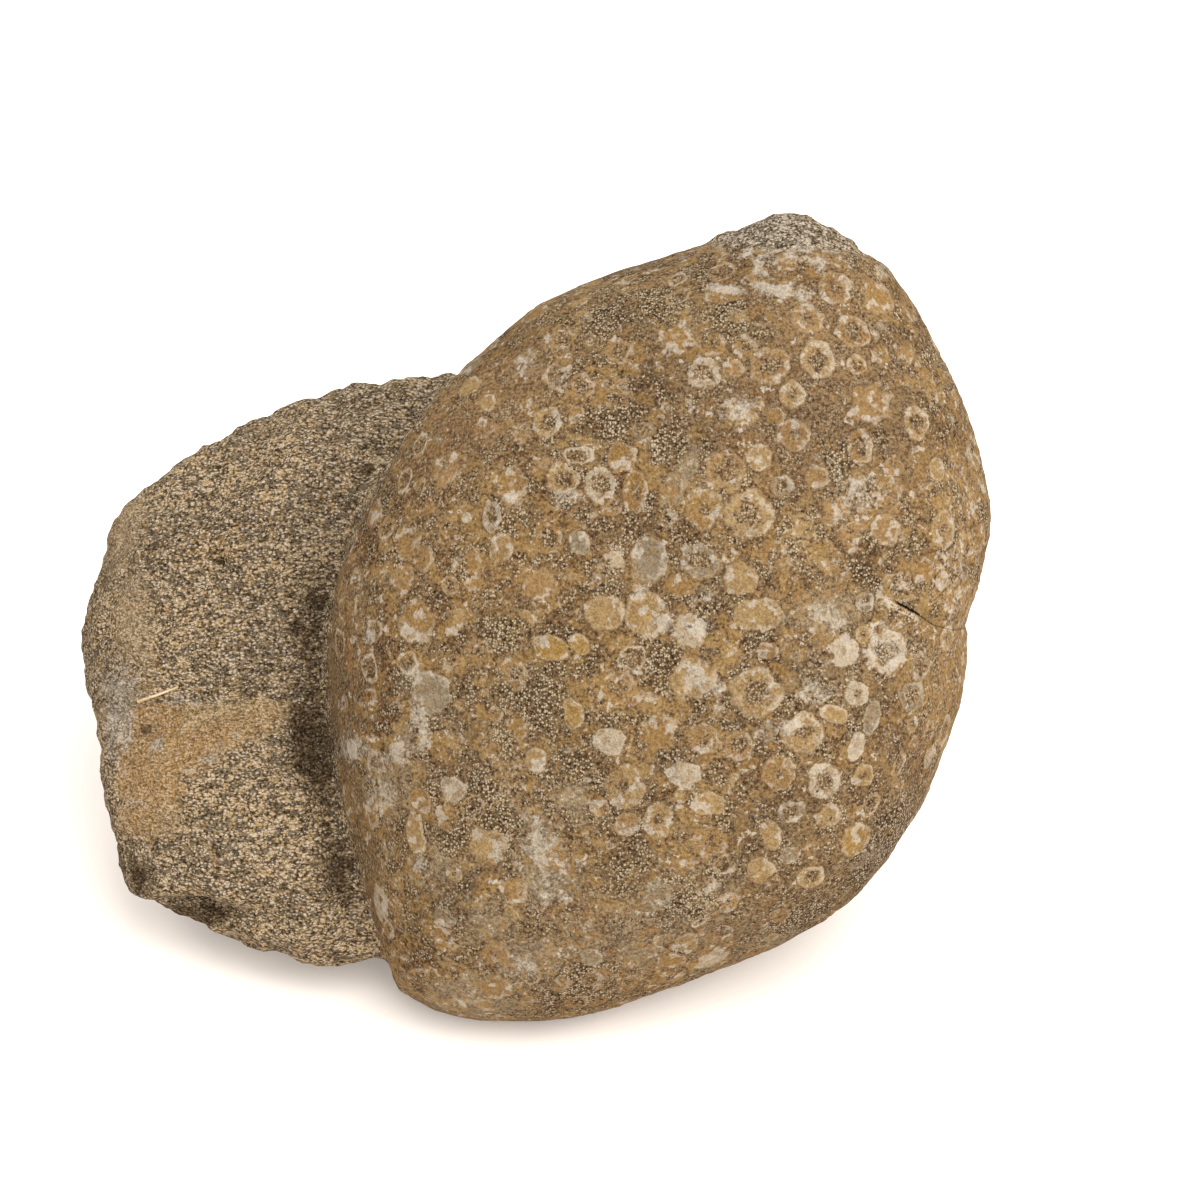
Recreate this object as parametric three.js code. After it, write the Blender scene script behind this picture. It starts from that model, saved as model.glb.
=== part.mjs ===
// Fossil coral head: one loose boulder of limestone. A domed colony of coral fills its front face, and a
// lower lobe of sandy matrix stands out to its left. The back is broken matrix, and the underside is a flat
// break that the boulder rests on.
//
// Millimetres, +Z up. The origin is the middle of the footprint, on the surface that the boulder rests on.
//
// The shape is set out on the coral face. A point there has three face coordinates, measured from the heart of
// the colony: across (+X), up the face, and out of the face. The face leans back, so its "out" looks up and
// towards -Y.

import * as THREE from "three";
import { ImprovedNoise } from "three/addons/math/ImprovedNoise.js";

const FACE_LEAN = THREE.MathUtils.degToRad(38); // how far the face looks up from level
const HEART = new THREE.Vector3(24.3, -2.7, 58.5); // the colony's heart in the part's frame

// Rims as seen square to the face: [across, up], anticlockwise from the right, each from its pillow's centre.
const CORAL_RIM = [
  [59.5, 1], [62.3, 12], [64, 25], [62.3, 35], [58.5, 46], [54, 55], [47, 67], [41, 74.5], [34, 78], [24, 80],
  [15, 77], [4, 73], [-10, 68.5], [-22, 63.5], [-31, 56], [-43, 46], [-52, 34], [-59, 20], [-62, 4],
  [-61, -12], [-58, -30], [-55, -50], [-51, -63], [-42, -70], [-30, -72.5], [-14, -71], [1, -67], [16, -61.5],
  [30, -54.5], [40, -46], [49, -34], [55, -21], [59, -8],
];
const MATRIX_RIM = [
  [62, 0], [60, 30], [50, 55], [37, 63], [24, 62], [14, 62.5], [4, 59], [-9, 51.5], [-22, 43],
  [-30.5, 35.5], [-34, 22], [-36.5, 12], [-35, 1], [-33, -9], [-32.5, -20], [-28.5, -29], [-25, -40],
  [-12, -46.5], [0, -50], [14, -52.5], [30, -53], [48, -42], [58, -22],
];

// Each pillow swells from its rim to these depths, out of the face and into the rock. A crown over 2 is flatter
// in the middle and rounder at the rim. The lean tips the pillow's mid plane: out per across, and out per up.
const CORAL = {
  rim: CORAL_RIM, centre: [0, 0, 0], front: 36, back: 56, crown: 2.5, lean: [0.03, 0.02],
};
const MATRIX = {
  rim: MATRIX_RIM, centre: [-74.5, -9.5, -18], front: 17, back: 30, crown: 2.4, lean: [0.06, -0.26],
};
const WELD = 5; // radius of the fillet where the two meet
const PILLOW_SCALE = 45; // turns a pillow's measure into about a distance

// Broken faces on the back: the way each one looks, in face coordinates, and its distance from the heart.
const BREAKS = [
  { looks: [0.15, 0.72, -0.68], at: 61 },
  { looks: [0.76, 0.1, -0.64], at: 53 },
  { looks: [-0.1, 0.05, -1], at: 50 },
  { looks: [-0.5, 0.4, -0.77], at: 89 },
];
const BREAK_EDGE = 12; // how far a broken face's edges are rounded

// Weathering: low swells, as [height, length]. They fade towards the rims, whose unevenness is their own.
const SWELLS = [
  [2.2, 34],
  [0.8, 15],
];
const CALM = 12; // a swell has half its height this far out of the face from the rim

// The surface is found along rays from a point deep inside, one to each corner of a ball of triangles.
const RAYS_FROM = new THREE.Vector3(-40, -6, -14); // in face coordinates
const BALL_DETAIL = 19; // 20 * (detail + 1) ** 2 triangles
const FARTHEST = 130;
const STRIDE = 1.5;
const HALVINGS = 16;

// A closed rim as a smooth curve, kept as the radius at each of many equal angles.
class Rim {
  static ANGLES = 720;

  constructor(points) {
    const corners = points.map(([across, up]) => new THREE.Vector3(across, up, 0));
    const curve = new THREE.CatmullRomCurve3(corners, true, "centripetal");
    const turns = curve.getPoints(Rim.ANGLES * 4).map((p) => [Math.atan2(p.y, p.x), Math.hypot(p.x, p.y)]);
    turns.sort((p, q) => p[0] - q[0]);
    this.radii = [];
    let next = 0;
    for (let i = 0; i < Rim.ANGLES; i++) {
      const angle = -Math.PI + (2 * Math.PI * i) / Rim.ANGLES;
      while (next < turns.length - 1 && turns[next][0] < angle) next++;
      this.radii.push(turns[next][1]);
    }
  }

  radiusAt(angle) {
    const place = ((angle + Math.PI) / (2 * Math.PI)) * Rim.ANGLES;
    const below = Math.floor(place);
    const share = place - below;
    const first = this.radii[below % Rim.ANGLES];
    const second = this.radii[(below + 1) % Rim.ANGLES];
    return first + (second - first) * share;
  }
}

// A pillow's measure at a point in face coordinates: under 0 inside, about millimetres near its surface.
function pillow({ rim, centre, front, back, crown, lean }) {
  const outline = new Rim(rim);
  return (p) => {
    const across = p.x - centre[0];
    const up = p.y - centre[1];
    const out = p.z - centre[2] - lean[0] * across - lean[1] * up;
    const reach = Math.hypot(across, up) / outline.radiusAt(Math.atan2(up, across));
    const depth = out > 0 ? out / front : -out / back;
    return ((reach ** crown + depth ** crown) ** (1 / crown) - 1) * PILLOW_SCALE;
  };
}

// The smaller of two measures, with a fillet of about this radius where they are close.
function weld(first, second, radius) {
  const near = Math.max(radius - Math.abs(first - second), 0) / radius;
  return Math.min(first, second) - (near * near * radius) / 4;
}

// The larger of two measures, with the edge rounded by about this radius.
function trim(first, second, radius) {
  return -weld(-first, -second, radius);
}

const unevenness = new ImprovedNoise();

function swell(p) {
  const share = p.z ** 2 / (p.z ** 2 + CALM ** 2);
  return SWELLS.reduce(
    (sum, [height, length]) => sum + share * height * unevenness.noise(p.x / length, p.y / length, p.z / length),
    0,
  );
}

const coralPillow = pillow(CORAL);
const matrixPillow = pillow(MATRIX);

function boulder(p) {
  let measure = weld(coralPillow(p), matrixPillow(p), WELD);
  for (const { looks, at } of BREAKS) {
    const way = new THREE.Vector3(...looks).normalize();
    measure = trim(measure, way.dot(p) - at, BREAK_EDGE);
  }
  return measure + swell(p);
}

// Face coordinates to the part's frame: across is +X, and the face leans back about X.
const FACE_TO_PART = new THREE.Matrix4()
  .makeTranslation(HEART.x, HEART.y, HEART.z)
  .multiply(new THREE.Matrix4().makeRotationX(Math.PI / 2 - FACE_LEAN));

// The outermost place along a ray where the boulder's surface is, in face coordinates.
function surfaceAlong(ray) {
  const at = (distance) => ray.clone().multiplyScalar(distance).add(RAYS_FROM);
  let outside = FARTHEST;
  while (outside > STRIDE && boulder(at(outside - STRIDE)) > 0) outside -= STRIDE;
  let inside = outside - STRIDE;
  for (let i = 0; i < HALVINGS; i++) {
    const middle = (inside + outside) / 2;
    if (boulder(at(middle)) > 0) outside = middle;
    else inside = middle;
  }
  return at(inside);
}

// The boulder: a ball of triangles drawn out to the surface, then cut off flat at the level it rests on.
function coralHeadGeometry() {
  const ball = new THREE.IcosahedronGeometry(1, BALL_DETAIL);
  const corners = ball.getAttribute("position");
  const ray = new THREE.Vector3();
  const start = RAYS_FROM.clone().applyMatrix4(FACE_TO_PART);
  for (let i = 0; i < corners.count; i++) {
    ray.fromBufferAttribute(corners, i).normalize();
    const place = surfaceAlong(ray).applyMatrix4(FACE_TO_PART);
    if (place.z < 0) {
      place.lerp(start, place.z / (place.z - start.z));
      place.z = 0;
    }
    corners.setXYZ(i, place.x, place.y, place.z);
  }
  ball.deleteAttribute("uv");
  ball.computeVertexNormals();
  return ball;
}

const coralLimestone = new THREE.MeshStandardMaterial({ color: 0x8f7658, roughness: 0.88, metalness: 0 });

const coralHead = new THREE.Mesh(coralHeadGeometry(), coralLimestone);
coralHead.name = "coral_head";

const part = new THREE.Group();
part.add(coralHead);

export default part;
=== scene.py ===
"""Looks of a fossil coral head: a loose limestone boulder with a domed face of coral rings and a sandy lobe.

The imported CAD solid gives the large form. Here it is subdivided, weathered, carved along the seam between
dome and lobe, set with coral rings, and dressed in one limestone finish that knows the stone's zones.
"""

from __future__ import annotations

import logging
import math
from dataclasses import dataclass
from enum import Enum
from typing import TypeAlias

import bpy
import numpy as np
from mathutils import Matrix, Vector, noise
from mathutils.bvhtree import BVHTree
from mathutils.kdtree import KDTree

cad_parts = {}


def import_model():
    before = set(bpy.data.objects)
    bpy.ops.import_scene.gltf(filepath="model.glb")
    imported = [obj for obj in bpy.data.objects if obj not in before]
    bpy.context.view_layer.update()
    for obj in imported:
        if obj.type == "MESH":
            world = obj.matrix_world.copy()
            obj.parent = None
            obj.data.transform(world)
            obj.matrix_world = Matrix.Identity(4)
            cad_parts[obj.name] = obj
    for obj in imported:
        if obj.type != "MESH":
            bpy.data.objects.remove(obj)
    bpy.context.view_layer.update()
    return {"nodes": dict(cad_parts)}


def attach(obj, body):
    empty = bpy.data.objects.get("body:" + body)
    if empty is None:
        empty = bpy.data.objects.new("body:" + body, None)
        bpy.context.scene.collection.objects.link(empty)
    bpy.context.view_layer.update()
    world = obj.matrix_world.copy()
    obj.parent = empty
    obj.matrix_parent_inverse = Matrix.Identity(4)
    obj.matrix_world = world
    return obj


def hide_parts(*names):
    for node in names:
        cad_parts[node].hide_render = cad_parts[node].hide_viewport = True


LOG = logging.getLogger("coral_head")
MM = 0.001
SEED = 1827
FAR_AWAY = 9.0  # a local coordinate well outside every ring
LIT = (0.458, 0.402, 0.341)  # how dark the stone's paint is against the colour that it shows
Socket = bpy.types.NodeSocket
Value: TypeAlias = "Socket | float | tuple[float, ...]"


def srgb(red: float, green: float, blue: float) -> tuple[float, float, float, float]:
    """Returns a colour given in 0 to 255 display values as linear red, green, blue and an alpha of 1."""
    linear = [((c / 255 + 0.055) / 1.055) ** 2.4 if c > 10 else c / 255 / 12.92 for c in (red, green, blue)]
    return (linear[0], linear[1], linear[2], 1.0)


def paint(red: float, green: float, blue: float) -> tuple[float, float, float, float]:
    """Returns the paint that shows as this display colour under lights that turn the floor plain white."""
    return (*(c * lit for c, lit in zip(srgb(red, green, blue), LIT)), 1.0)


# ---------------------------------------------------------------------------------------------- places


@dataclass(frozen=True)
class FaceFrame:
    """Coordinates on the coral face, in millimetres from the colony's heart: across, up the face, and out."""

    heart: tuple[float, float, float] = (24.3, -2.7, 58.5)
    lean: float = math.radians(38)
    viewer: tuple[float, float, float] = (-10.5, 7.6, 900.0)

    def axes(self) -> np.ndarray:
        """Returns the across, up and out directions as the rows of a matrix."""
        low, high = math.sin(self.lean), math.cos(self.lean)
        return np.array([[1, 0, 0], [0, low, high], [0, -high, low]])

    def to_face(self, points: np.ndarray) -> np.ndarray:
        """Returns points in metres in the row frame as face coordinates in millimetres."""
        return (points / MM - np.array(self.heart)) @ self.axes().T

    def to_row(self, points: np.ndarray) -> np.ndarray:
        """Returns face coordinates in millimetres as points in metres in the row frame."""
        return (np.asarray(points, dtype=float) @ self.axes() + np.array(self.heart)) * MM

    def seen(self, face: np.ndarray) -> np.ndarray:
        """Returns where lines of sight through points cross the face's plane, as [across, up] rows."""
        x_and_y, away = self.viewer[:2], self.viewer[2]
        return face[:, :2] * (1 + face[:, 2:3] / away) - np.array(x_and_y) * face[:, 2:3] / away


FACE = FaceFrame()

# The dome's edge against the lobe, from the top down, as [across, up].
SEAM = np.array([
    (-33, 56), (-41, 46), (-50, 33), (-57, 20), (-61, 9), (-62.5, -2), (-62, -14), (-60, -26), (-57, -39),
    (-53.5, -53), (-50.5, -64), (-48, -76),
], dtype=float)

# How deep the groove is, and how dark its painted shade is, as shares, at each distance down the seam.
GROOVE_DEPTH = np.array([(0, 0.3), (35, 0.5), (65, 0.9), (100, 1.0), (120, 0.8)])
SEAM_SHADE = np.array([
    (0, 0.05), (38, 0.15), (50, 0.35), (57, 0.75), (65, 0.6), (75, 0.5), (83, 1.7), (91, 0.8), (99, 0.45),
    (107, 1.0), (117, 0.3), (125, 0.15),
])

# The fine crack at the right, from its inner end, and how deep it is in millimetres at each distance.
CRACK = np.array([
    (40, 13), (43.5, 9.4), (45.8, 7.2), (49.5, 5.2), (52.6, 2.9), (56.6, 1.9), (61, 2.4),
], dtype=float)
CRACK_DEPTH = np.array([(6, 0), (9, 1.0), (12, 1.0), (16, 0.35), (24, 0.6)])

# The smooth ochre bedding surface on the lobe, anticlockwise.
BED = np.array([
    (-100.7, -12.4), (-103, -19), (-101, -37.5), (-91, -38), (-88.6, -27), (-82, -22), (-70, -15),
    (-70.5, -10.6), (-84, -11.6), (-97.5, -11.6), (-100.7, -12.4),
], dtype=float)

# Above this line the top of the dome is sandy matrix.
CAP_EDGE = np.array([(0, 80), (9, 76), (14, 74), (20, 72.6), (30, 73), (41, 71.4), (52, 71)], dtype=float)


def along_and_across(points: np.ndarray, line: np.ndarray) -> tuple[np.ndarray, np.ndarray]:
    """Measures points against a bent line.

    Args:
        points: one [across, up] row a point, in millimetres.
        line: the line's corners, one row each.

    Returns:
        How far along the line each point's nearest place is, and how far off it, more than 0 on its left.
    """
    best = np.full(len(points), np.inf)
    along = np.zeros(len(points))
    across = np.zeros(len(points))
    start = 0.0
    for first, second in zip(line[:-1], line[1:]):
        run = second - first
        length = float(np.hypot(*run))
        share = np.clip((points - first) @ run / length**2, 0, 1)
        off = points - first - share[:, None] * run
        gap = np.hypot(off[:, 0], off[:, 1])
        side = np.sign(run[0] * (points[:, 1] - first[1]) - run[1] * (points[:, 0] - first[0]))
        nearer = gap < best
        best = np.where(nearer, gap, best)
        along = np.where(nearer, start + share * length, along)
        across = np.where(nearer, gap * side, across)
        start += length
    return along, across


def coral_depth(points: np.ndarray) -> np.ndarray:
    """Measures how far inside the coral points are.

    Args:
        points: places in face coordinates.

    Returns:
        The depth of each in millimetres; under 0 it is on sandy matrix.
    """
    _, across = along_and_across(points[:, :2], SEAM)
    behind = points[:, 2] + 17 + 4 * np.sin(points[:, 0] / 17) + 3 * np.sin(points[:, 1] / 11)
    cap = np.interp(points[:, 0], *CAP_EDGE.T) - points[:, 1]
    return np.minimum(np.minimum(across, behind), cap)


def lumps(points: np.ndarray, size: float, seed: float) -> np.ndarray:
    """Reads soft noise.

    Args:
        points: places in metres.
        size: the size of its features in millimetres.
        seed: tells one noise from another.

    Returns:
        A number from about -1 to 1 for each point.
    """
    shift = np.array([17.3, 5.9, 11.1]) * seed
    places = (points / (size * MM) + shift).tolist()
    return np.array([noise.noise(place) for place in places])


# --------------------------------------------------------------------------------------------- markings


class Tone(Enum):
    """Colours of the coral's tubes where they are cut across."""

    CREAM = paint(204, 178, 132)
    WHITE = paint(226, 219, 204)
    GREY = paint(172, 163, 146)
    TAN = paint(186, 154, 109)
    OCHRE = paint(184, 149, 95)
    GOLD = paint(200, 167, 99)


class Look(Enum):
    """Kinds of cut tube, as (size of the sandy core, how gritty the core is, how clear the rays are)."""

    RING = (0.52, 1.0, 0.8)
    THIN = (0.72, 0.7, 0.4)
    WIDE = (0.34, 0.8, 1.0)
    DISC = (0.0, 0.0, 0.9)
    PLAIN = (0.0, 0.0, 0.2)


@dataclass(frozen=True)
class Tube:
    """One coral tube cut across by the surface, in millimetres on the coral face."""

    across: float
    up: float
    radius: float
    look: Look = Look.RING
    tone: Tone = Tone.TAN
    strength: float = 0.8
    tall: float = 1.0
    turn: float = 0.0


# How common each kind and tone is among the scattered tubes.
LOOK_SHARES = {Look.RING: 0.22, Look.WIDE: 0.24, Look.DISC: 0.3, Look.THIN: 0.08, Look.PLAIN: 0.16}
TONE_SHARES = {Tone.TAN: 0.4, Tone.OCHRE: 0.26, Tone.CREAM: 0.22, Tone.GREY: 0.08, Tone.WHITE: 0.04}

# The tubes that stand out.
TUBES = (
    Tube(34.2, 66.9, 3.3, Look.WIDE, Tone.TAN, 1.0),
    Tube(37.6, 58.5, 3.4, Look.RING, Tone.OCHRE, 1.0),
    Tube(21.7, 52.3, 3.6, Look.RING, Tone.TAN, 0.8),
    Tube(30.8, 53.2, 3.1, Look.RING, Tone.CREAM, 0.95, 1.25),
    Tube(26.0, 46.6, 2.5, Look.WIDE, Tone.CREAM, 0.9),
    Tube(38.4, 52.3, 1.9, Look.RING, Tone.OCHRE, 0.8),
    Tube(28.9, 61.0, 2.9, Look.WIDE, Tone.TAN, 0.7, 1.1, 20),
    Tube(49.6, 41.4, 3.0, Look.RING, Tone.CREAM, 0.95),
    Tube(39.0, 36.7, 2.5, Look.RING, Tone.OCHRE, 0.8, 1.3),
    Tube(26.6, 39.1, 3.0, Look.WIDE, Tone.TAN, 0.75),
    Tube(41.2, 44.8, 4.0, Look.DISC, Tone.TAN, 0.55),
    Tube(42.4, 65.2, 3.2, Look.DISC, Tone.OCHRE, 0.7, 1.1),
    Tube(53.4, 32.5, 2.1, Look.DISC, Tone.CREAM, 0.9),
    Tube(19.8, 34.6, 2.4, Look.DISC, Tone.CREAM, 0.75),
    Tube(30.8, 31.0, 2.1, Look.DISC, Tone.TAN, 0.6),
    Tube(4.4, 68.6, 2.1, Look.RING, Tone.TAN, 0.7),
    Tube(12.9, 65.6, 3.2, Look.DISC, Tone.OCHRE, 0.75, 0.7),
    Tube(24.9, 72.0, 2.3, Look.DISC, Tone.OCHRE, 0.75),
    Tube(54.7, 20.9, 3.1, Look.WIDE, Tone.CREAM, 0.85, 1.15),
    Tube(54.5, 11.2, 1.8, Look.DISC, Tone.CREAM, 0.8),
    Tube(17.9, 23.8, 4.6, Look.RING, Tone.CREAM, 0.9),
    Tube(9.3, 24.9, 3.7, Look.WIDE, Tone.OCHRE, 0.7),
    Tube(13.3, 32.2, 3.6, Look.THIN, Tone.TAN, 0.7),
    Tube(22.8, 15.9, 3.0, Look.WIDE, Tone.OCHRE, 0.6),
    Tube(16.3, 11.6, 3.2, Look.DISC, Tone.CREAM, 0.7),
    Tube(19.5, 4.7, 5.0, Look.DISC, Tone.CREAM, 0.75, 0.6),
    Tube(39.9, 7.4, 1.9, Look.WIDE, Tone.GREY, 0.9),
    Tube(43.9, -2.3, 4.2, Look.RING, Tone.WHITE, 0.95, 1.0),
    Tube(35.9, -2.3, 2.7, Look.PLAIN, Tone.WHITE, 0.7, 1.2),
    Tube(38.2, -10.1, 2.4, Look.WIDE, Tone.WHITE, 0.9),
    Tube(41.2, -14.6, 1.7, Look.PLAIN, Tone.GREY, 0.95, 1.9, -10),
    Tube(33.6, -13.9, 1.7, Look.PLAIN, Tone.CREAM, 0.8, 1.9, 75),
    Tube(48.8, -16.0, 1.7, Look.RING, Tone.CREAM, 0.9),
    Tube(19.0, -10.1, 4.8, Look.RING, Tone.CREAM, 0.85),
    Tube(28.1, -17.7, 4.2, Look.WIDE, Tone.CREAM, 0.9, 0.85),
    Tube(38.2, -20.2, 1.5, Look.PLAIN, Tone.WHITE, 0.85, 2.0, -25),
    Tube(32.3, -26.8, 3.4, Look.RING, Tone.WHITE, 1.0),
    Tube(29.6, -45.0, 2.9, Look.RING, Tone.CREAM, 1.0, 0.85),
    Tube(20.0, -43.7, 2.7, Look.DISC, Tone.CREAM, 0.7),
    Tube(21.9, -36.9, 2.0, Look.PLAIN, Tone.CREAM, 0.75, 1.7, 20),
    Tube(33.1, -33.4, 2.7, Look.DISC, Tone.CREAM, 0.6),
    Tube(38.0, -38.0, 3.4, Look.PLAIN, Tone.GOLD, 0.85, 1.1, -30),
    Tube(39.5, -25.8, 2.2, Look.WIDE, Tone.CREAM, 0.7),
    Tube(40.9, -31.3, 2.0, Look.THIN, Tone.CREAM, 0.8, 1.3, -25),
    Tube(46.4, -23.4, 1.8, Look.THIN, Tone.CREAM, 0.7, 1.4, -30),
    Tube(23.4, -25.3, 3.2, Look.WIDE, Tone.TAN, 0.8),
    Tube(5.5, -25.3, 3.1, Look.DISC, Tone.WHITE, 0.65, 0.85),
    Tube(15.8, -19.8, 2.9, Look.RING, Tone.TAN, 0.75),
    Tube(9.3, -18.8, 2.9, Look.WIDE, Tone.TAN, 0.65),
    Tube(0.4, -17.5, 3.7, Look.DISC, Tone.OCHRE, 0.6),
    Tube(-8.6, -19.4, 3.1, Look.PLAIN, Tone.WHITE, 0.9, 0.9, 10),
    Tube(-15.6, -14.3, 1.9, Look.PLAIN, Tone.GOLD, 0.95, 1.6, 10),
    Tube(-22.6, -22.8, 2.1, Look.DISC, Tone.CREAM, 0.8, 1.15),
    Tube(-5.8, -27.8, 3.8, Look.WIDE, Tone.CREAM, 0.7),
    Tube(0.6, -34.0, 3.0, Look.WIDE, Tone.CREAM, 0.75),
    Tube(10.2, -31.2, 3.0, Look.PLAIN, Tone.CREAM, 0.8, 0.75),
    Tube(-9.6, 5.3, 3.7, Look.DISC, Tone.CREAM, 0.85, 0.95),
    Tube(-1.6, 4.9, 4.1, Look.DISC, Tone.CREAM, 1.0, 1.05),
    Tube(-20.1, -1.5, 2.4, Look.PLAIN, Tone.GOLD, 1.0, 1.5, 75),
    Tube(-14.5, -0.8, 1.8, Look.PLAIN, Tone.GOLD, 0.7, 1.2, 60),
    Tube(6.4, 1.8, 3.0, Look.PLAIN, Tone.WHITE, 0.6, 1.2),
    Tube(-1.0, 15.2, 3.2, Look.PLAIN, Tone.GREY, 0.8, 1.4, -8),
    Tube(-14.3, 18.4, 1.9, Look.PLAIN, Tone.GREY, 0.8, 1.3, 15),
    Tube(-29.2, 17.5, 2.3, Look.DISC, Tone.CREAM, 0.7, 1.2),
    Tube(-20.3, 19.0, 3.0, Look.RING, Tone.OCHRE, 0.6),
    Tube(-20.3, 41.4, 2.9, Look.RING, Tone.CREAM, 0.9, 1.1),
    Tube(-14.6, 35.2, 3.2, Look.THIN, Tone.WHITE, 0.7, 0.5),
    Tube(-17.6, 30.8, 3.1, Look.RING, Tone.CREAM, 0.75),
    Tube(-10.4, 29.5, 3.1, Look.RING, Tone.WHITE, 0.75, 1.1),
    Tube(-3.8, 28.3, 2.3, Look.WIDE, Tone.OCHRE, 0.85, 1.7),
    Tube(-31.0, 23.6, 1.9, Look.RING, Tone.WHITE, 0.95, 1.6),
    Tube(-35.9, 23.2, 1.0, Look.PLAIN, Tone.WHITE, 0.8),
    Tube(-47.5, 30.4, 1.8, Look.THIN, Tone.CREAM, 1.0, 1.5, -15),
    Tube(-44.6, 37.1, 1.8, Look.THIN, Tone.TAN, 0.9, 1.4, -20),
    Tube(-59.9, -0.6, 2.3, Look.THIN, Tone.CREAM, 0.7, 1.3),
    Tube(-54.3, -5.3, 2.4, Look.THIN, Tone.WHITE, 1.0, 1.2, 20),
    Tube(-53.2, 2.1, 2.3, Look.RING, Tone.CREAM, 0.6),
    Tube(-47.1, -4.2, 2.4, Look.THIN, Tone.CREAM, 0.8, 0.9),
    Tube(-42.6, -10.0, 4.0, Look.PLAIN, Tone.GREY, 0.95, 1.0, 30),
    Tube(-57.6, -20.7, 2.2, Look.PLAIN, Tone.GREY, 0.8),
    Tube(-54.4, -28.5, 2.8, Look.RING, Tone.GREY, 0.6),
    Tube(-45.6, -36.6, 2.0, Look.PLAIN, Tone.CREAM, 1.0, 2.2, 10),
    Tube(-31.7, -39.0, 3.5, Look.DISC, Tone.CREAM, 0.65, 1.0),
    Tube(-12.0, -60.2, 2.2, Look.PLAIN, Tone.GREY, 0.8),
    Tube(3.4, -61.0, 2.7, Look.DISC, Tone.OCHRE, 0.65, 0.9),
    Tube(-27.2, 29.8, 3.0, Look.DISC, Tone.OCHRE, 0.65),
    Tube(-35.4, 15.0, 2.8, Look.DISC, Tone.OCHRE, 0.5),
    Tube(-39.0, 10.3, 1.7, Look.RING, Tone.OCHRE, 0.85),
    Tube(-17.5, 57.4, 2.6, Look.RING, Tone.TAN, 0.45),
    Tube(-7.2, 55.1, 2.8, Look.RING, Tone.TAN, 0.5),
    Tube(27.5, 20.4, 3.4, Look.PLAIN, Tone.CREAM, 0.4, 1.3, 50),
    Tube(7.0, -7.5, 4.4, Look.PLAIN, Tone.CREAM, 0.6, 0.8),
    Tube(34.0, 24.5, 2.9, Look.DISC, Tone.TAN, 0.5),
    Tube(44.5, 28.0, 3.0, Look.WIDE, Tone.TAN, 0.5),
    Tube(47.5, 54.2, 2.4, Look.DISC, Tone.TAN, 0.4),
)


class Stain(Enum):
    """Kinds of patch on the coral and the lobe: stains and wear, with painted shade and painted light among
    some of them.
    """

    GRIT = "grit"
    OCHRE = "ochre"
    RUST = "rust"
    GREY = "grey"
    WHITE = "white"
    DARK = "dark"
    BARE = "bare"


@dataclass(frozen=True)
class Patch:
    """One patch on the coral face: its middle, half its width and height, and its turn in degrees."""

    across: float
    up: float
    wide: float
    high: float
    turn: float = 0.0
    amount: float = 1.0


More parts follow.
